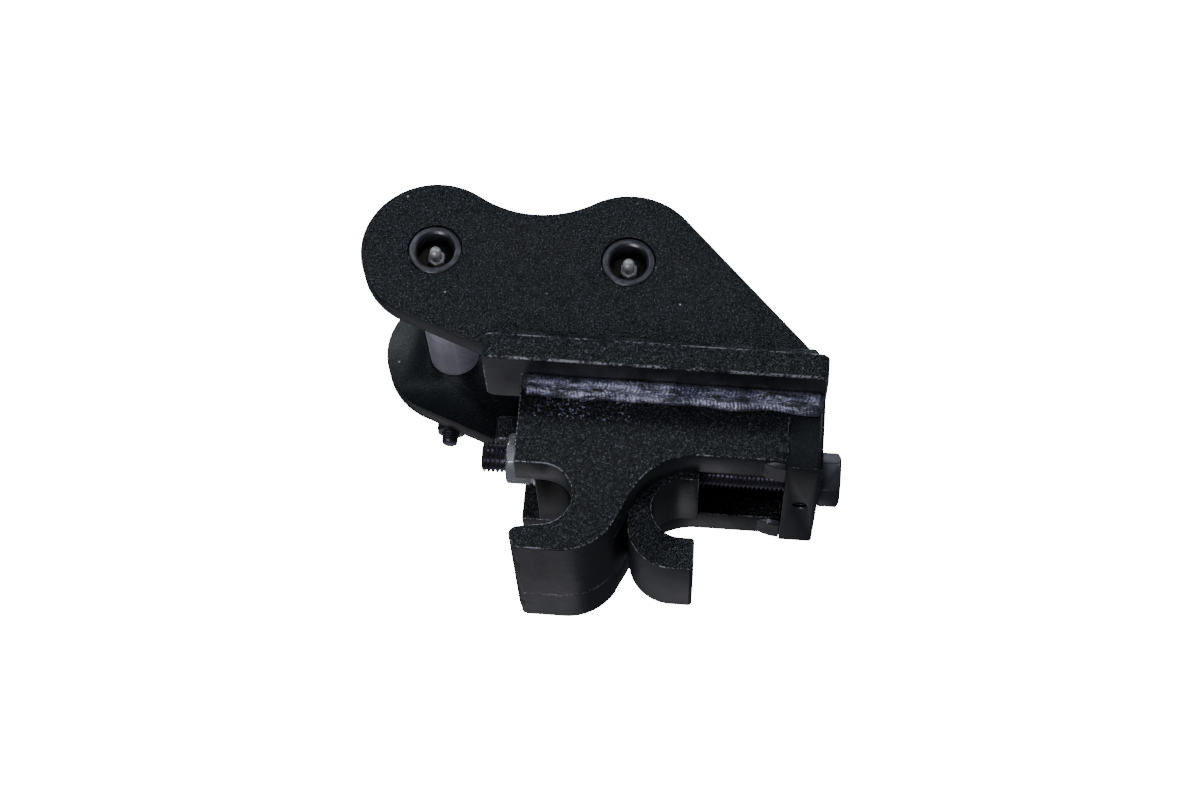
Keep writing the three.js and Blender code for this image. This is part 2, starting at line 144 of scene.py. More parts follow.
class Sheet:
    """Places shader nodes in a tree and joins them, so that a recipe reads as one line for each node."""

    def __init__(self, tree):
        self.tree = tree

    def node(self, kind, settings=(), **sockets):
        made = self.tree.nodes.new("ShaderNode" + kind)
        for key, value in dict(settings).items():
            setattr(made, key, value)
        for key, value in sockets.items():
            self.feed(made.inputs[key.replace("_", " ")], value)
        return made

    def feed(self, socket, value):
        if isinstance(value, bpy.types.NodeSocket):
            self.tree.links.new(value, socket)
        else:
            socket.default_value = value

    def maths(self, operation, *values):
        made = self.node("Math", {"operation": operation})
        for socket, value in zip(made.inputs, values):
            self.feed(socket, value)
        return made.outputs[0]

    def ramp(self, value, low, high, bottom=0.0, top=1.0):
        made = self.node("MapRange", {"clamp": True}, Value=value)
        for socket, limit in zip(made.inputs[1:5], (low, high, bottom, top)):
            self.feed(socket, limit)
        return made.outputs[0]

    def blend(self, factor, first, second):
        made = self.node("Mix", {"data_type": "RGBA"})
        self.feed(made.inputs[0], factor)
        self.feed(made.inputs[6], first)
        self.feed(made.inputs[7], second)
        return made.outputs[2]

    def noise(self, scale, detail=3.0, roughness=0.5, stretch=(1.0, 1.0, 1.0)):
        place = self.node("TexCoord").outputs["Object"]
        mapped = self.node("Mapping", Vector=place, Scale=stretch).outputs[0]
        return self.node("TexNoise", Vector=mapped, Scale=scale, Detail=detail,
                         Roughness=roughness).outputs["Fac"]

    def grains(self, scale, feature="F1"):
        place = self.node("TexCoord").outputs["Object"]
        return self.node("TexVoronoi", {"feature": feature}, Vector=place, Scale=scale)


def new_group(name, inputs, outputs):
    """A shader node group with named sockets; returns it with its sheet, its inputs and its output node."""
    group = bpy.data.node_groups.new(name, "ShaderNodeTree")
    for label, kind, value in inputs:
        socket = group.interface.new_socket(label, in_out="INPUT", socket_type="NodeSocket" + kind)
        socket.default_value = value
    for label, kind in outputs:
        group.interface.new_socket(label, in_out="OUTPUT", socket_type="NodeSocket" + kind)
    source = group.nodes.new("NodeGroupInput")
    target = group.nodes.new("NodeGroupOutput")
    return group, Sheet(group), source.outputs, target


surface_outputs = [("Color", "Color"), ("Roughness", "Float"), ("Metallic", "Float"), ("Height", "Float")]

black_paint = (0.0040, 0.0052, 0.0068, 1.0)
thin_paint = (0.011, 0.0125, 0.014, 1.0)
# Colour of the painted glints: pale flecks in the grain that stand for its sparkle.
painted_glint_colour = (0.17, 0.195, 0.215, 1.0)
pale_dust = (0.50, 0.52, 0.50, 1.0)
rubbed_steel = (0.42, 0.42, 0.46, 1.0)
sandy_coat, s, given, made = new_group("sandy_coat", [
    ("Paint", "Color", black_paint), ("Grain", "Float", 1.0),
    ("Painted Sheen", "Color", (0.030, 0.0295, 0.034, 1.0)), ("Wear", "Float", 0.0), ("Dust", "Float", 1.0)],
    surface_outputs)
facing = s.node("SeparateXYZ", Vector=s.node("NewGeometry").outputs["Normal"]).outputs
rolled = s.ramp(s.maths("ABSOLUTE", facing["Y"]), 0.55, 0.85)
sandy = s.maths("MULTIPLY", rolled, given["Grain"])
coarse = s.noise(640.0, 6.0, 0.68)
pits = s.grains(900.0, "SMOOTH_F1").outputs["Distance"]
sand = s.maths("ADD", coarse, s.maths("MULTIPLY", pits, 0.6))
drawn = s.noise(330.0, 4.0, 0.6, (1.0, 0.12, 1.0))
cut = s.maths("ADD", s.maths("MULTIPLY", drawn, 0.05), s.maths("MULTIPLY", s.noise(70.0), 0.3))
height = s.node("Mix", Factor=sandy)
s.feed(height.inputs[2], cut)
s.feed(height.inputs[3], sand)
cloud = s.noise(34.0, 4.0, 0.6)
thin = s.blend(s.ramp(cloud, 0.35, 0.7), given["Paint"],
               s.blend(0.4, given["Paint"], thin_paint))
# Painted glints: pale flecks scattered in the colour of the upright faces' grain, for its grains catching the
# light.
painted_glint_mask = s.ramp(s.noise(1080.0, 3.0, 0.75), 0.57, 0.63)
thin_paint_with_painted_glints = s.blend(s.maths("MULTIPLY", painted_glint_mask, sandy), thin, painted_glint_colour)
# Painted sheen: every face that does not look along Y, the undersides and cut edges, is given a lighter
# colour in smeared patches, for the light that falls on them from below.
sheen_and_gloss_patches = s.noise(26.0, 3.0, 0.55, (1.0, 0.35, 1.0))
painted_sheen = s.blend(s.ramp(sheen_and_gloss_patches, 0.35, 0.65), s.blend(0.22, given["Paint"], given["Painted Sheen"]), given["Painted Sheen"])
tone_with_painted_sheen = s.blend(rolled, painted_sheen, thin_paint_with_painted_glints)
fleck = s.grains(70.0)
near_fleck = s.ramp(fleck.outputs["Distance"], 0.055, 0.035)
picked = s.ramp(s.node("SeparateColor", Color=fleck.outputs["Color"]).outputs[0], 0.62, 0.63)
dusty = s.maths("MULTIPLY", s.maths("MULTIPLY", near_fleck, picked), given["Dust"])
scuff = s.maths("ADD", s.maths("MULTIPLY", s.noise(620.0, 4.0, 0.7), 0.6),
                s.maths("MULTIPLY", s.noise(60.0, 2.0), 0.4))
bare = s.maths("MULTIPLY", s.ramp(scuff, 0.49, 0.54), given["Wear"])
tone = s.blend(bare, s.blend(dusty, tone_with_painted_sheen, pale_dust), rubbed_steel)
s.feed(made.inputs["Color"], tone)
gloss = s.node("Mix", Factor=sandy)
s.feed(gloss.inputs[2], s.ramp(sheen_and_gloss_patches, 0.3, 0.7, 0.26, 0.48))
s.feed(gloss.inputs[3], s.ramp(coarse, 0.35, 0.65, 0.44, 0.26))
s.feed(made.inputs["Roughness"], s.maths("ADD", gloss.outputs[0], s.maths("MULTIPLY", dusty, 0.3)))
s.feed(made.inputs["Metallic"], s.maths("MULTIPLY", bare, 0.4))
s.feed(made.inputs["Height"], height.outputs[0])


def finish_from(name, group, values, bump, deep, **fixed):
    """A material whose varying sockets come from a finish group and whose uniform ones are set plainly."""
    made, tree, shader = shader_material(name)
    recipe = tree.nodes.new("ShaderNodeGroup")
    recipe.node_tree = group
    for key, value in values.items():
        recipe.inputs[key].default_value = value
    for key in ("Color", "Roughness", "Metallic"):
        tree.links.new(recipe.outputs[key], shader.inputs["Base Color" if key == "Color" else key])
    relief = tree.nodes.new("ShaderNodeBump")
    relief.inputs["Strength"].default_value = bump
    relief.inputs["Distance"].default_value = deep
    tree.links.new(recipe.outputs["Height"], relief.inputs["Height"])
    tree.links.new(relief.outputs["Normal"], shader.inputs["Normal"])
    for key, value in fixed.items():
        shader.inputs[key.replace("_", " ")].default_value = value
    return made


black_coat = finish_from("black_coat", sandy_coat, {}, 1.0, 1.1 * mm)
smooth_coat = finish_from("smooth_coat", sandy_coat, {"Grain": 0.15}, 0.7, 0.6 * mm)
rubbed_edge = finish_from("rubbed_edge", sandy_coat, {"Wear": 0.3, "Grain": 0.5}, 0.8, 0.6 * mm)
worn_edge = finish_from("worn_edge", sandy_coat, {"Wear": 1.0, "Grain": 0.5}, 0.9, 0.8 * mm)
# The bar, cheek, hook and jaw coats each set how light a painted sheen their undersides and cut edges carry.
bar_coat = finish_from("bar_coat", sandy_coat, {"Painted Sheen": (0.055, 0.054, 0.061, 1.0)}, 1.0, 1.1 * mm)
# A darker, duller copy of the black coat with little grain, as painted shade on faces that lie in shadow: the
# far ear's inner side and the end block.
painted_shade_coat = finish_from("painted_shade_coat", sandy_coat, {
    "Paint": (0.0032, 0.0042, 0.0058, 1.0), "Grain": 0.15}, 0.7, 0.6 * mm, Specular_IOR_Level=0.32)
cheek_coat = finish_from("cheek_coat", sandy_coat, {
    "Painted Sheen": (0.026, 0.0255, 0.030, 1.0), "Grain": 0.75}, 1.0, 1.3 * mm)
hook_coat = finish_from("hook_coat", sandy_coat, {"Painted Sheen": (0.021, 0.0205, 0.025, 1.0)}, 1.0, 1.1 * mm)
jaw_coat = finish_from("jaw_coat", sandy_coat, {
    "Painted Sheen": (0.042, 0.0415, 0.048, 1.0), "Grain": 0.75}, 1.0, 1.3 * mm)


def dressed(node, name, edge, *finishes, rounds=2, slot="black_paint", body="frame"):
    """A copy of a CAD node with its edges rounded, in place of it: the last finish is the rounded edges'."""
    shape = bmesh.new()
    shape.from_mesh(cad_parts[node].data)
    bmesh.ops.remove_doubles(shape, verts=shape.verts, dist=0.002 * mm)
    bmesh.ops.dissolve_limit(shape, angle_limit=math.radians(1.0), verts=shape.verts, edges=shape.edges)
    mesh = bpy.data.meshes.new(name)
    shape.to_mesh(mesh)
    shape.free()
    piece = bpy.data.objects.new(name, mesh)
    bpy.context.collection.objects.link(piece)
    for finish in finishes:
        mesh.materials.append(finish)
    rounding = piece.modifiers.new("edge", "BEVEL")
    rounding.width, rounding.segments = edge, rounds
    rounding.limit_method, rounding.angle_limit = "ANGLE", math.radians(32.0)
    rounding.material = len(finishes) - 1
    rounding.use_clamp_overlap = True
    baked(piece)
    for polygon in piece.data.polygons:
        polygon.use_smooth = True
    piece.data.set_sharp_from_angle(angle=math.radians(38.0))
    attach(piece, body)
    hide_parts(node)
    return piece


def baked(piece):
    """Turns a piece's modifiers into plain mesh and takes them off."""
    mesh = bpy.data.meshes.new_from_object(piece.evaluated_get(bpy.context.evaluated_depsgraph_get()))
    piece.modifiers.clear()
    piece.data = mesh
    return piece


# Ears. Two flame-cut plates that straddle the stick, each holed for the stick pin and the link pin,
# standing on the base bars and welded to them along both sides of their foot.
dressed("ear_near", "ear_plate_near", 0.7 * mm, black_coat, rubbed_edge)
# The far ear's outer face, which looks along +Y, has the same grain as the near ear's; its inner face and cut
# edges take a darker, duller copy of the coat as painted shade.
far_plate = dressed("ear_far", "ear_plate_far", 0.7 * mm, painted_shade_coat, rubbed_edge)
far_plate.data.materials.append(black_coat)
for polygon in far_plate.data.polygons:
    if polygon.normal.y > 0.9:
        polygon.material_index = 2

# Base bars and deck. Flat bars under the ears with their corners rounded off, and a deck plate that
# closes the channel between them; all are welded to the side plates below.
for side in ("near", "far"):
    dressed(f"base_bar_{side}", f"bar_{side}", 1.2 * mm, bar_coat, worn_edge, rounds=3)
dressed("deck_plate", "deck", 0.8 * mm, black_coat, rubbed_edge)

# Lower body. Two thick side plates cut to the fixed hook's outline, the hook's core between them, and
# the end block, drilled for the drive screw and tapped from below for its grub screw.
for side in ("near", "far"):
    dressed(f"side_plate_{side}", f"cheek_{side}", 0.9 * mm, cheek_coat, worn_edge)
hook = dressed("hook_core", "hook", 0.6 * mm, hook_coat, rubbed_edge)
# The end block takes the darker coat, as painted shade.
dressed("end_block", "tail_block", 0.8 * mm, painted_shade_coat, worn_edge)
# The faces inside the hook's slot take a darker, brownish coat with little shine, as painted shade in the
# slot.
slot_shade_coat = finish_from("slot_shade_coat", sandy_coat, {
    "Paint": (0.0035, 0.003, 0.0025, 1.0), "Painted Sheen": (0.0055, 0.0048, 0.004, 1.0), "Grain": 0.1,
}, 0.6, 0.5 * mm, Specular_IOR_Level=0.11)
hook.data.materials.append(slot_shade_coat)
slot_centre, slot_reach = Vector((0.0, 0.0, 31.7 * mm)), 18.0 * mm
for polygon in hook.data.polygons:
    across = polygon.center - slot_centre
    if math.hypot(across.x, across.z) < slot_reach and abs(polygon.normal.y) < 0.5:
        polygon.material_index = 2


def built(name, corners, faces, finish, smooth=38.0):
    """A closed piece from its corners and faces, turned outwards."""
    mesh = bpy.data.meshes.new(name)
    mesh.from_pydata(corners, [], faces)
    shape = bmesh.new()
    shape.from_mesh(mesh)
    bmesh.ops.recalc_face_normals(shape, faces=shape.faces)
    shape.to_mesh(mesh)
    shape.free()
    mesh.materials.append(finish)
    for polygon in mesh.polygons:
        polygon.use_smooth = True
    mesh.set_sharp_from_angle(angle=math.radians(smooth))
    piece = bpy.data.objects.new(name, mesh)
    bpy.context.collection.objects.link(piece)
    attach(piece, "frame")
    return piece


# Ground sole. The joints along the sole and up the back are filled, ground flush and painted over; one
# ground edge runs along it, where the paint is rubbed through.
hook_back_x, hook_back_radius = 12.0 * mm, 32.2 * mm
sole_front, sole_step, back_step = -9.3 * mm, 1.0 * mm, 1.4
skin_proud, skin_sunk = -0.2 * mm, 0.4 * mm
profile = [(sole_front + sole_step * i, 0.0, 0.0, 1.0) for i in range(21)]
for i in range(46):
    a = math.radians(-90.0 + back_step * i)
    profile.append((hook_back_x + hook_back_radius * math.cos(a), hook_back_radius * (1.0 + math.sin(a)),
                    -math.cos(a), -math.sin(a)))
for skin_name, skin_rows in [
    ("near", (-54.3 * mm, 17.0 * mm, 18.6 * mm)),
    ("far", (54.3 * mm, 19.8 * mm, 19.2 * mm)),
]:
    corners, faces = [], []
    for number, (x, z, lean_x, lean_z) in enumerate(profile):
        for depth in (skin_proud, skin_sunk):
            for row, y in enumerate(skin_rows):
                stray = 0.9 * mm * noise.noise(Vector((number * 0.21, 0.0, 4.0))) if row else 0.0
                corners.append((x + lean_x * depth, y + stray, z + lean_z * depth))
    for i in range(len(profile) - 1):
        first, second = 6 * i, 6 * i + 6
        for j, k in ((0, 1), (1, 2), (2, 5), (5, 4), (4, 3), (3, 0)):
            faces.append((first + j, first + k, second + k, second + j))
    for end in (0, 6 * len(profile) - 6):
        faces += [(end, end + 1, end + 4, end + 3), (end + 1, end + 2, end + 5, end + 4)]
    skin = built(f"ground_sole_{skin_name}", corners, faces, hook_coat)
    skin.data.materials.append(worn_edge)
    for polygon in skin.data.polygons:
        if 16.9 * mm < polygon.center.y < 20.4 * mm:
            polygon.material_index = 1

# Moving jaw. Cut from thick plate and machined with a tongue on each side that runs in the cheeks'
# grooves; a threaded block in its front pocket takes the drive screw.
dressed("moving_jaw", "jaw_hook", 0.8 * mm, jaw_coat, worn_edge, body="jaw")


# Bright metals. The pins are ground bar, the front nut and washer are zinc plated, the nipples are
# nickelled and the bolts are oiled black: one finish with tone, tarnish and the lines of its making.
worked_metal, s, given, made = new_group("worked_metal", [
    ("Tone", "Color", (0.4, 0.4, 0.42, 1.0)), ("Tarnish", "Color", (0.2, 0.19, 0.22, 1.0)),
    ("Lines", "Vector", (1.0, 1.0, 1.0)), ("Line Scale", "Float", 300.0), ("Patches", "Float", 60.0),
    ("Smooth", "Float", 0.25), ("Rough", "Float", 0.45), ("Metal", "Float", 1.0)], surface_outputs)
place = s.node("TexCoord").outputs["Object"]
along = s.node("Mapping", Vector=place, Scale=given["Lines"]).outputs[0]
lines = s.node("TexNoise", Vector=along, Scale=given["Line Scale"], Detail=4.0).outputs["Fac"]
patches = s.node("TexNoise", Vector=place, Scale=given["Patches"], Detail=5.0, Roughness=0.65).outputs["Fac"]
stain = s.ramp(patches, 0.42, 0.68)
s.feed(made.inputs["Color"], s.blend(s.maths("MULTIPLY", stain, s.ramp(lines, 0.2, 0.8, 0.6, 1.0)),
                                     given["Tone"], given["Tarnish"]))
rougher = s.node("MapRange", Value=s.maths("MULTIPLY", s.maths("ADD", stain, lines), 0.5))
for socket, value in zip(rougher.inputs[3:5], (given["Smooth"], given["Rough"])):
    s.feed(socket, value)
s.feed(made.inputs["Roughness"], rougher.outputs[0])
s.feed(made.inputs["Metallic"], s.maths("MULTIPLY", s.ramp(stain, 0.0, 1.0, 0.96, 0.8), given["Metal"]))
s.feed(made.inputs["Height"], s.maths("ADD", lines, s.maths("MULTIPLY", patches, 0.5)))

# Pins. Ground steel bar, flush with the near ear, with a counterbore in the end for the grease nipple;
# the far end sits in a collar welded to the far ear, where a cross bolt holds it.
pin_steel = finish_from("pin_steel", worked_metal, {
    "Tone": (0.92, 0.89, 1.0, 1.0), "Tarnish": (0.60, 0.56, 0.70, 1.0), "Lines": (0.15, 1.0, 0.15),
    "Line Scale": 2600.0, "Patches": 55.0, "Smooth": 0.26, "Rough": 0.46, "Metal": 0.5}, 0.3, 0.05 * mm)
pin_end = finish_from("pin_end", worked_metal, {
    "Tone": (0.16, 0.155, 0.175, 1.0), "Tarnish": (0.07, 0.068, 0.08, 1.0),
    "Line Scale": 900.0, "Patches": 200.0, "Smooth": 0.3, "Rough": 0.5}, 0.4, 0.1 * mm)
# The deepest part of each pin's bore takes a near-black, brownish finish, as painted shade in the
# counterbore.
deep_bore_shade = finish_from("deep_bore_shade", worked_metal, {
    "Tone": (0.045, 0.04, 0.036, 1.0), "Tarnish": (0.02, 0.018, 0.016, 1.0),
    "Line Scale": 900.0, "Patches": 200.0, "Smooth": 0.3, "Rough": 0.5}, 0.4, 0.1 * mm)
bore_floor, nipple_recess = 15.0 * mm, 12.5 * mm
for which in ("stick", "link"):
    pin = dressed(f"{which}_pin", f"{which}_pin_bar", 0.25 * mm, pin_steel, pin_end, slot="bare_steel")
    ear_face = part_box("ear_near")[0].y
    pin.data.materials.append(deep_bore_shade)
    for polygon in pin.data.polygons:
        if polygon.center.y < ear_face + bore_floor:
            polygon.material_index = 2 if polygon.center.y > ear_face + nipple_recess else 1


def turned_piece(name, profile, steps, finish):
    """A piece turned about Y from pairs of radius and distance along the axis, which start and end on it."""
    shape = bmesh.new()
    rings = []
    for radius, along in profile:
        if radius == 0.0:
            rings.append([shape.verts.new((0.0, along, 0.0))])
            continue
        turns = [2.0 * math.pi * i / steps for i in range(steps)]
        rings.append([shape.verts.new((radius * math.cos(a), along, radius * math.sin(a))) for a in turns])
    for first, second in zip(rings, rings[1:]):
        for i in range(steps):
            corners = [first[i % len(first)], first[(i + 1) % len(first)],
                       second[(i + 1) % len(second)], second[i % len(second)]]
            shape.faces.new(list(dict.fromkeys(corners)))
    bmesh.ops.recalc_face_normals(shape, faces=shape.faces)
    mesh = bpy.data.meshes.new(name)
    shape.to_mesh(mesh)
    shape.free()
    mesh.materials.append(finish)
    for polygon in mesh.polygons:
        polygon.use_smooth = True
    mesh.set_sharp_from_angle(angle=math.radians(38.0))
    piece = bpy.data.objects.new(name, mesh)
    bpy.context.collection.objects.link(piece)
    return piece


# Grease nipples. Small nickelled nipples screwed into the floor of each pin's bore: a hexagon, a waist,
# and a ball head with its valve hole, level with the pin's end.
nickel = finish_from("nickel", worked_metal, {
    "Tone": (0.82, 0.80, 0.78, 1.0), "Tarnish": (0.55, 0.53, 0.51, 1.0),
    "Line Scale": 1500.0, "Patches": 500.0, "Smooth": 0.30, "Rough": 0.46, "Metal": 0.45}, 0.2, 0.05 * mm)
# The valve hole is a shallow dimple at the ball's tip, coloured near black as painted shade.
valve_hole_shade = finish_from("valve_hole_shade", worked_metal, {
    "Tone": (0.03, 0.03, 0.03, 1.0), "Tarnish": (0.01, 0.01, 0.01, 1.0),
    "Line Scale": 900.0, "Patches": 300.0, "Smooth": 0.4, "Rough": 0.6}, 0.2, 0.05 * mm)
ball, waist = 3.25 * mm, 2.2 * mm
for which in ("stick", "link"):
    low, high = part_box(f"{which}_pin_nipple")
    axis_x, axis_z, tip, root = (low.x + high.x) / 2, (low.z + high.z) / 2, low.y, high.y
    crown = [(ball * math.sin(a), ball - ball * math.cos(a))
             for a in (math.radians(22.0 + 13.0 * i) for i in range(9))]
    neck = [(waist, 6.4 * mm), (waist, 7.6 * mm), (3.1 * mm, 8.6 * mm), (3.6 * mm, root - tip)]
    profile = [(0.0, 1.1 * mm), (0.7 * mm, 1.1 * mm), (0.75 * mm, 0.35 * mm)] + crown + neck
    stem = turned_piece(f"{which}_nipple_stem", profile + [(0.0, root - tip)], 40, nickel)
    stem.data.transform(Matrix.Translation((axis_x, tip, axis_z)))
    stem.data.materials.append(valve_hole_shade)
    for polygon in stem.data.polygons:
        away = (polygon.center - Vector((axis_x, tip, axis_z)))
        if math.hypot(away.x, away.z) < 0.74 * mm:
            polygon.material_index = 1
    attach(stem, "frame")
    dressed(f"{which}_pin_nipple", f"{which}_nipple_hexagon", 0.12 * mm, nickel, slot="zinc")

# Threads. Cut as true right-hand helices: a grid wrapped round an axis, its radius rising and falling
# once in each pitch, chamfered at both ends and closed there by flat discs.


class Wiring(Sheet):
    """The same for Geometry Nodes: node names are given whole, and fields are joined as they are needed."""

    def node(self, kind, settings=(), **sockets):
        made = self.tree.nodes.new(kind)
        for key, value in dict(settings).items():
            setattr(made, key, value)
        for key, value in sockets.items():
            self.feed(made.inputs[key.replace("_", " ")], value)
        return made

    def maths(self, operation, *values):
        made = self.node("ShaderNodeMath", {"operation": operation})
        for socket, value in zip(made.inputs, values):
            self.feed(socket, value)
        return made.outputs[0]

    def point(self, x, y, z):
        made = self.node("ShaderNodeCombineXYZ")
        for socket, value in zip(made.inputs, (x, y, z)):
            self.feed(socket, value)
        return made.outputs[0]


def new_modifier(name, inputs):
    """A Geometry Nodes tree with named inputs, its wiring, its inputs' sockets and its output socket."""
    tree = bpy.data.node_groups.new(name, "GeometryNodeTree")
    tree.interface.new_socket("Geometry", in_out="INPUT", socket_type="NodeSocketGeometry")
    for label, kind in inputs:
        tree.interface.new_socket(label, in_out="INPUT", socket_type="NodeSocket" + kind)
    tree.interface.new_socket("Geometry", in_out="OUTPUT", socket_type="NodeSocketGeometry")
    wiring = Wiring(tree)
    source = wiring.node("NodeGroupInput").outputs
    return tree, wiring, source, wiring.node("NodeGroupOutput").inputs["Geometry"]


def grown(name, tree, values, mesh=None):
    """A piece made by a Geometry Nodes tree from a start mesh, as plain mesh."""
    piece = bpy.data.objects.new(name, mesh or bpy.data.meshes.new(name))
    bpy.context.collection.objects.link(piece)
    modifier = piece.modifiers.new("grow", "NODES")
    modifier.node_group = tree
    for item in tree.interface.items_tree:
        if item.item_type == "SOCKET" and item.in_out == "INPUT" and item.name in values:
            modifier[item.identifier] = values[item.name]
    baked(piece)
    piece.data.name = name
    piece.data.set_sharp_from_angle(angle=math.radians(50.0))
    return piece


helix, w, given, result = new_modifier("thread_helix", [
    ("Length", "Float"), ("Pitch", "Float"), ("Crest", "Float"), ("Root", "Float"), ("End", "Float"),
    ("Around", "Int"), ("Steps", "Int"), ("Finish", "Material")])
rows = w.maths("MULTIPLY", w.maths("DIVIDE", given["Length"], given["Pitch"]), given["Steps"])
grid = w.node("GeometryNodeMeshGrid", Size_X=1.0, Size_Y=1.0,
              Vertices_X=rows, Vertices_Y=w.maths("ADD", given["Around"], 1))
flat = w.node("ShaderNodeSeparateXYZ", Vector=w.node("GeometryNodeInputPosition").outputs[0]).outputs
along = w.maths("MULTIPLY", w.maths("ADD", flat[0], 0.5), given["Length"])
turn = w.maths("ADD", flat[1], 0.5)
phase = w.maths("FRACT", w.maths("SUBTRACT", w.maths("DIVIDE", along, given["Pitch"]), turn))
swing = w.maths("SUBTRACT", w.maths("MULTIPLY", phase, 2.0), 1.0)
ridge = w.maths("SUBTRACT", 1.0, w.maths("ABSOLUTE", swing))
steep = w.maths("SUBTRACT", w.maths("MULTIPLY", ridge, 1.4), 0.2)
flank = w.maths("MINIMUM", w.maths("MAXIMUM", steep, 0.0), 1.0)
depth = w.maths("SUBTRACT", given["Crest"], given["Root"])
thread = w.maths("ADD", given["Root"], w.maths("MULTIPLY", flank, depth))
inside = w.maths("MINIMUM", along, w.maths("SUBTRACT", given["Length"], along))
radius = w.maths("MINIMUM", thread, w.maths("ADD", given["End"], inside))
angle = w.maths("MULTIPLY", turn, 2.0 * math.pi)
wrapped = w.node("GeometryNodeSetPosition", Geometry=grid.outputs["Mesh"], Position=w.point(
    w.maths("MULTIPLY", radius, w.maths("COSINE", angle)),
    w.maths("MULTIPLY", radius, w.maths("SINE", angle)), along))
outward = w.node("GeometryNodeFlipFaces", Mesh=wrapped.outputs[0])
disc = w.node("GeometryNodeMeshCircle", {"fill_type": "NGON"}, Vertices=given["Around"], Radius=given["End"])
foot = w.node("GeometryNodeFlipFaces", Mesh=disc.outputs[0])
top = w.node("GeometryNodeTransform", Geometry=disc.outputs[0],
             Translation=w.point(0.0, 0.0, given["Length"]))
whole = w.node("GeometryNodeJoinGeometry")
for part in (outward, foot, top):
    w.tree.links.new(part.outputs[0], whole.inputs[0])
closed = w.node("GeometryNodeMergeByDistance", Geometry=whole.outputs[0], Distance=0.01 * mm)
real = w.node("GeometryNodeRealizeInstances", Geometry=closed.outputs[0])
finished = w.node("GeometryNodeSetMaterial", Geometry=real.outputs[0], Material=given["Finish"])
w.feed(result, finished.outputs[0])


thread_depth = 0.6134


def threaded(name, length, pitch, crest, finish, place, end=None, steps=8, around=48):
    """A threaded rod of a metric pitch, from the origin up Z, then put in place."""
    root = crest - thread_depth * pitch
    rod = grown(name, helix, {"Length": length, "Pitch": pitch, "Crest": crest, "Root": root,
                              "End": end or root, "Around": around, "Steps": steps, "Finish": finish})
    for polygon in rod.data.polygons:
        polygon.use_smooth = True
    rod.data.transform(place)
    return rod


def trimmed(piece, point, normal):
    """Cuts a piece at a plane, keeps the side that the normal points to, and closes the cut."""
    shape = bmesh.new()
    shape.from_mesh(piece.data)
    cut = bmesh.ops.bisect_plane(shape, geom=shape.verts[:] + shape.edges[:] + shape.faces[:],
                                 plane_co=point, plane_no=normal, clear_inner=True)
    rim = [g for g in cut["geom_cut"] if isinstance(g, bmesh.types.BMEdge)]
    bmesh.ops.contextual_create(shape, geom=rim)
    shape.to_mesh(piece.data)
    shape.free()


# Drive screw. A long M18 bolt in oiled black, its head against the end block and its far end through
# the hook's core, where the zinc nut on its washer keeps it from drawing out as it turns. The thread's
# crest is a little under 9 mm, so that it clears the bore of the jaw's block.
black_oxide = finish_from("black_oxide", worked_metal, {
    "Tone": (0.17, 0.165, 0.195, 1.0), "Tarnish": (0.13, 0.125, 0.15, 1.0),
    "Line Scale": 700.0, "Patches": 60.0, "Smooth": 0.28, "Rough": 0.44}, 0.25, 0.05 * mm)
# The thread takes a lighter, glossier copy of the head's black finish, as painted light on a thread that lies
# in the channel's shadow.
painted_lit_thread = finish_from("painted_lit_thread", worked_metal, {
    "Tone": (0.30, 0.285, 0.34, 1.0), "Tarnish": (0.11, 0.10, 0.105, 1.0),
    "Line Scale": 500.0, "Patches": 90.0, "Smooth": 0.14, "Rough": 0.30}, 0.15, 0.04 * mm)
zinc = finish_from("zinc", worked_metal, {
    "Tone": (0.97, 0.98, 1.0, 1.0), "Tarnish": (0.86, 0.88, 0.92, 1.0),
    "Line Scale": 600.0, "Patches": 120.0, "Smooth": 0.20, "Rough": 0.34, "Metal": 0.85}, 0.15, 0.04 * mm)
screw_low, screw_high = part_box("drive_screw")
block_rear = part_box("end_block")[1].x
screw_z = (screw_low.z + screw_high.z) / 2
screw_pitch, screw_crest, screw_end = 2.5 * mm, 8.85 * mm, 7.4 * mm
into_head, under_head = 1.0 * mm, 0.15 * mm
head = dressed("drive_screw", "drive_screw_head", 0.55 * mm, black_oxide, slot="black_oxide", body="screw")
trimmed(head, (block_rear + under_head, 0.0, 0.0), (1.0, 0.0, 0.0))
along_x = Matrix.Rotation(math.pi / 2, 4, "Y")
shank = threaded("drive_screw_thread", block_rear + into_head - screw_low.x, screw_pitch, screw_crest,
                 painted_lit_thread, Matrix.Translation((screw_low.x, 0.0, screw_z)) @ along_x, end=screw_end)
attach(shank, "screw")
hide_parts("drive_screw")
dressed("screw_nut", "zinc_nut", 0.3 * mm, zinc, slot="zinc", body="screw")
dressed("front_washer", "zinc_washer", 0.3 * mm, zinc, slot="zinc", body="screw")
dressed("drive_nut", "jaw_thread_block", 0.4 * mm, pin_steel, slot="bare_steel", body="jaw")

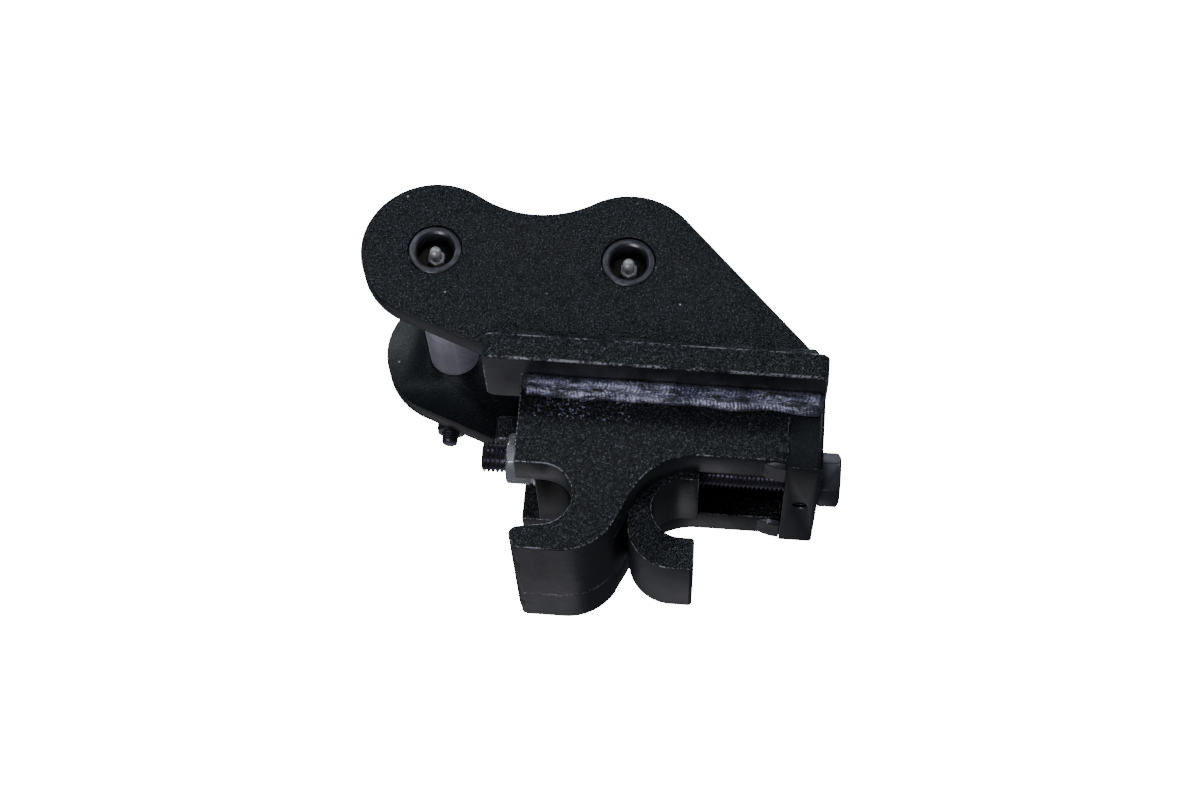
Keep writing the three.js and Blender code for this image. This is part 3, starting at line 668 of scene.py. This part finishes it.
# Grub screw. A socket set screw in oiled black that locks the drive screw from below, through the end
# block. It sits sunk in its tapped hole, and the hole's own thread shows below it as a closed ring.
dressed("lock_set_screw", "grub_screw", 0.2 * mm, black_oxide, slot="black_oxide")
grub_low, grub_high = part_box("lock_set_screw")
block_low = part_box("end_block")[0].z
tap_x, tap_steps, tap_pitch = (grub_low.x + grub_high.x) / 2, 32, 1.5 * mm
tap_lip, tap_crest, tap_depth, tap_wall = 0.3 * mm, 4.15 * mm, 0.8 * mm, 5.2 * mm
turn_rows = 8
tap_rows = int((grub_low.z - block_low - 0.6 * mm) / (tap_pitch / turn_rows))
corners, faces = [], []
for row in range(tap_rows):
    z = block_low + tap_lip + row * tap_pitch / turn_rows
    for i in range(tap_steps):
        a = 2.0 * math.pi * i / tap_steps
        ridge = abs(2.0 * ((row / turn_rows - i / tap_steps) % 1.0) - 1.0)
        radius = tap_crest + tap_depth * (1.0 - ridge)
        corners.append((tap_x + radius * math.cos(a), radius * math.sin(a), z))
for z in (block_low + tap_lip + (tap_rows - 1) * tap_pitch / turn_rows, block_low + tap_lip):
    for i in range(tap_steps):
        a = 2.0 * math.pi * i / tap_steps
        corners.append((tap_x + tap_wall * math.cos(a), tap_wall * math.sin(a), z))
for row in range(tap_rows + 2):
    for i in range(tap_steps):
        here, there = row * tap_steps, (row + 1) % (tap_rows + 2) * tap_steps
        after = (i + 1) % tap_steps
        faces.append((here + i, here + after, there + after, there + i))
built("tapped_hole", corners, faces, black_oxide)

# Collars and cross bolts. Each pin's far end sits in a collar welded to the far ear, and an M10 bolt
# goes down through both, with a washer and a self-locking nut under it.
bolt_head_height, bolt_pitch, bolt_crest = 6.4 * mm, 1.5 * mm, 5.0 * mm
for which in ("stick", "link"):
    dressed(f"{which}_pin_collar", f"{which}_collar", 0.7 * mm, black_coat, rubbed_edge)
    bolt_low, bolt_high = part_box(f"{which}_pin_bolt")
    bolt_x, bolt_y = (bolt_low.x + bolt_high.x) / 2, (bolt_low.y + bolt_high.y) / 2
    head = dressed(f"{which}_pin_bolt", f"{which}_bolt_head", 0.25 * mm, black_oxide, slot="black_oxide")
    seat = bolt_high.z - bolt_head_height
    trimmed(head, (0.0, 0.0, seat + 0.05 * mm), (0.0, 0.0, 1.0))
    shank = threaded(f"{which}_bolt_thread", seat + into_head - bolt_low.z, bolt_pitch, bolt_crest,
                     black_oxide, Matrix.Translation((bolt_x, bolt_y, bolt_low.z)), around=32, steps=6)
    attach(shank, "frame")
    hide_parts(f"{which}_pin_bolt")
    dressed(f"{which}_pin_bolt_nut", f"{which}_bolt_lock_nut", 0.25 * mm, black_oxide, slot="black_oxide")
    dressed(f"{which}_pin_bolt_washer", f"{which}_bolt_washer", 0.2 * mm, black_oxide, slot="black_oxide")

# Welds. Fillets laid by hand with a stick electrode in one or more passes, each with crescent ripples
# and wandering toes. Most are under the black coat; the long ones under the bars are left bare.
bare_weld_group, s, given, made = new_group("bare_weld", [("Slag", "Float", 1.0)], surface_outputs)
streak = s.noise(420.0, 5.0, 0.65, (0.28, 1.0, 1.0))
heat = s.blend(s.ramp(s.noise(110.0, 4.0, 0.6, (0.4, 1.0, 1.0)), 0.35, 0.65),
               (0.50, 0.50, 0.64, 1.0), (0.13, 0.125, 0.21, 1.0))
slag = s.maths("MULTIPLY", s.ramp(s.noise(260.0, 6.0, 0.7, (0.35, 1.0, 1.0)), 0.49, 0.57), given["Slag"])
s.feed(made.inputs["Color"], s.blend(slag, heat, (0.035, 0.033, 0.042, 1.0)))
s.feed(made.inputs["Roughness"], s.ramp(streak, 0.3, 0.7, 0.24, 0.46))
s.feed(made.inputs["Metallic"], s.ramp(slag, 0.0, 1.0, 0.92, 0.3))
s.feed(made.inputs["Height"], s.maths("ADD", streak, s.maths("MULTIPLY", s.noise(1100.0), 0.5)))
bare_weld = finish_from("bare_weld", bare_weld_group, {"Slag": 0.9}, 0.9, 0.7 * mm)
painted_weld = finish_from("painted_weld", sandy_coat, {"Wear": 0.1, "Grain": 0.9}, 0.9, 0.8 * mm)


def fillet(name, stations, legs, finish, passes=1, bulge=0.35 * mm, relief=0.2 * mm, pitch=1.9 * mm,
           lumps=0.5 * mm, seed=0.0, closed=False, across=26):
    """A weld in the corner of two plates: stations hold a corner point and a direction along each plate."""
    corners, faces, walked = [], [], 0.0
    total = sum((b[0] - a[0]).length for a, b in zip(stations, stations[1:]))
    for number, (point, first, second) in enumerate(stations):
        if number:
            walked += (point - stations[number - 1][0]).length
        wander = 1.0 + 0.16 * noise.noise(Vector((walked * 55.0, seed, 0.0)))
        sag = 1.0 + 0.22 * noise.noise(Vector((walked * 48.0, seed, 7.0)))
        ends = 1.0 if closed else min(1.0, 0.45 + min(walked, total - walked) / (5.0 * mm))
        reach = (legs[0] * wander * ends, legs[1] * sag * ends)
        corners.append(point - (first + second) * 0.5 * mm)
        for step in range(across + 1):
            share = step / across
            turn = share * math.pi / 2
            body = first * reach[0] * math.cos(turn) ** 1.5 + second * reach[1] * math.sin(turn) ** 1.5
            outward = (first * math.cos(turn) + second * math.sin(turn)).normalized()
            drift = 0.22 * noise.noise(Vector((walked * 26.0, seed, 3.0 + 1.2 * share)))
            lane = max(0.0, min(0.9999, share + drift * math.sin(math.pi * share))) * passes
            v = 2.0 * (lane % 1.0) - 1.0
            jitter = noise.noise(Vector((walked * 300.0, 4.0 * share, seed + int(lane))))
            phase = (walked + 0.8 * pitch * v * v) / pitch + 0.45 * jitter + 0.37 * int(lane)
            crest = 1.0 - abs(2.0 * (phase % 1.0) - 1.0)
            coarse = noise.noise(Vector((walked * 190.0, 5.0 * share, seed + 11.0)))
            fine = noise.noise(Vector((walked * 520.0, 16.0 * share, seed + 17.0)))
            lift = bulge * math.sqrt(max(0.0, 1.0 - v * v)) + relief * crest * (1.0 - 0.5 * v * v)
            lift += lumps * (0.6 * coarse + 0.4 * fine)
            toe = math.sin(math.pi * share) ** 0.4
            corners.append(point + body + outward * lift * toe * ends)
    ring = across + 2
    count = len(stations)
    for i in range(count if closed else count - 1):
        here, there = i * ring, (i + 1) % count * ring
        for j in range(ring):
            after = (j + 1) % ring
            faces.append((here + j, here + after, there + after, there + j))
    if not closed:
        faces += [tuple(range(ring)), tuple(range((count - 1) * ring, count * ring))]
    return built(name, corners, faces, finish, smooth=70.0)


def run(start, end, first, second, step=0.45 * mm):
    """The stations of a straight weld."""
    start, end = Vector(start), Vector(end)
    count = max(2, round((end - start).length / step))
    return [(start.lerp(end, i / count), Vector(first), Vector(second)) for i in range(count + 1)]


bar_low, bar_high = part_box("base_bar_far")
cheek_channel = 60.0 * mm
ear_low, ear_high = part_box("ear_far")
cheek_low, cheek_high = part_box("side_plate_far")
deck_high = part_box("deck_plate")[1]
tail_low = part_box("end_block")[0]
ear_heel = bar_high.x - 5.0 * mm
for number, (side, sign) in enumerate([("near", -1.0), ("far", 1.0)]):
    under, cheek, ledge = bar_low.z, sign * cheek_high.y, bar_high.z
    fillet(f"bar_fillet_{side}",
           run((cheek_low.x + 1.0 * mm, cheek, under), (bar_high.x - 1.0 * mm, cheek, under),
               (0.0, sign, 0.0), (0.0, 0.0, -1.0)),
           (8.5 * mm, 9.5 * mm), bare_weld, passes=2, bulge=1.5 * mm, relief=0.32 * mm, lumps=0.5 * mm,
           seed=3.0 + number, across=40)
    for face, y, away in [("outer", sign * ear_high.y, sign), ("inner", sign * ear_low.y, -sign)]:
        fillet(f"ear_foot_{face}_{side}",
               run((bar_low.x + 1.0 * mm, y, ledge), (ear_heel, y, ledge), (0.0, away, 0.0), (0.0, 0.0, 1.0)),
               (5.0 * mm, 5.0 * mm), painted_weld, relief=0.35 * mm, pitch=2.6 * mm, lumps=1.0 * mm,
               seed=11.0 + number + y * 40.0)
    fillet(f"deck_seam_{side}",
           run((cheek_low.x + 2.0 * mm, sign * deck_high.y, deck_high.z),
               (bar_high.x - 2.0 * mm, sign * deck_high.y, deck_high.z), (0.0, -sign, 0.0), (0.0, 0.0, 1.0)),
           (4.0 * mm, 3.0 * mm), painted_weld, lumps=0.6 * mm, seed=31.0 + number)
    outer, inner = sign * cheek_high.y, sign * cheek_low.y
    fillet(f"tail_foot_{side}",
           run((cheek_high.x, outer - sign * 1.0 * mm, cheek_channel), (cheek_high.x, inner, cheek_channel),
               (-1.0, 0.0, 0.0), (0.0, 0.0, -1.0)),
           (13.0 * mm, cheek_channel - tail_low.z - 0.1 * mm), smooth_coat, relief=0.03 * mm, lumps=0.2 * mm,
           seed=41.0 + number)
    fillet(f"tail_tack_{side}",
           run((cheek_high.x - 2.0 * mm, outer - sign * 0.3 * mm, cheek_channel + 2.0 * mm),
               (cheek_high.x - 2.5 * mm, outer - sign * 0.3 * mm, cheek_channel + 13.0 * mm),
               (-0.9, sign * 0.35, 0.0), (0.9, sign * 0.35, 0.0)),
           (3.6 * mm, 3.0 * mm), smooth_coat, relief=0.15 * mm, lumps=0.5 * mm, seed=45.0 + number)
fillet("tail_tack_bare",
       run((cheek_high.x - 1.0 * mm, cheek_low.y + 2.5 * mm, cheek_channel),
           (cheek_high.x - 8.0 * mm, cheek_low.y + 1.5 * mm, cheek_channel),
           (0.0, 0.6, -0.8), (0.0, -0.8, -0.3)),
       (2.4 * mm, 2.4 * mm), bare_weld, lumps=0.8 * mm, seed=49.0)

# Weld spatter. Drops thrown from the long welds that froze on the cheeks below them: left bare, as
# the weld is, towards the front, and under the paint towards the rear.
scatter, w, given, result = new_modifier("weld_spatter", [
    ("Density", "Float"), ("Seed", "Int"), ("Finish", "Material")])
spots = w.node("GeometryNodeDistributePointsOnFaces", Mesh=given["Geometry"], Density=given["Density"],
               Seed=given["Seed"])
drop = w.node("GeometryNodeMeshIcoSphere", Radius=1.0 * mm, Subdivisions=2)
width = w.node("FunctionNodeRandomValue", {"data_type": "FLOAT"}, Seed=given["Seed"])
width.inputs[2].default_value, width.inputs[3].default_value = 0.25, 0.8
drops = w.node("GeometryNodeInstanceOnPoints", Points=spots.outputs["Points"], Instance=drop.outputs["Mesh"],
               Rotation=spots.outputs["Rotation"], Scale=width.outputs[1])
real = w.node("GeometryNodeRealizeInstances", Geometry=drops.outputs[0])
finished = w.node("GeometryNodeSetMaterial", Geometry=real.outputs[0], Material=given["Finish"])
w.feed(result, finished.outputs[0])
for number, (side, sign) in enumerate([("near", -1.0), ("far", 1.0)]):
    for patch, (left, right, low, high), density, coat in [
        ("front", (-8.0, 46.0, 77.0, 90.0), 260000.0, bare_weld),
        ("rear", (46.0, 128.0, 83.0, 91.0), 60000.0, painted_weld)]:
        patch_mesh = bpy.data.meshes.new(f"spatter_{patch}_{side}")
        y = sign * (cheek_high.y + 0.05 * mm)
        rim = [(left * mm, y, low * mm), (right * mm, y, low * mm),
               (right * mm, y, high * mm), (left * mm, y, high * mm)]
        patch_mesh.from_pydata(rim, [], [(0, 1, 2, 3)])
        spray = grown(f"spatter_{patch}_{side}", scatter,
                      {"Density": density, "Seed": number, "Finish": coat}, patch_mesh)
        for polygon in spray.data.polygons:
            polygon.use_smooth = True
        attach(spray, "frame")

# Collar welds. One bead laid round the foot of each collar, on the far ear's outer face, with the black
# coat over it.
for which in ("stick", "link"):
    low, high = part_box(f"{which}_pin_collar")
    middle = Vector(((low.x + high.x) / 2, ear_high.y, (low.z + high.z) / 2))
    spokes = [Vector((math.cos(math.radians(a)), 0.0, math.sin(math.radians(a)))) for a in range(0, 360, 1)]
    fillet(f"{which}_collar_fillet",
           [(middle + spoke * (high.x - low.x) / 2, spoke, Vector((0.0, 1.0, 0.0))) for spoke in spokes],
           (5.0 * mm, 5.0 * mm), painted_weld, relief=0.3 * mm, pitch=2.4 * mm, lumps=0.7 * mm, seed=51.0,
           closed=True)
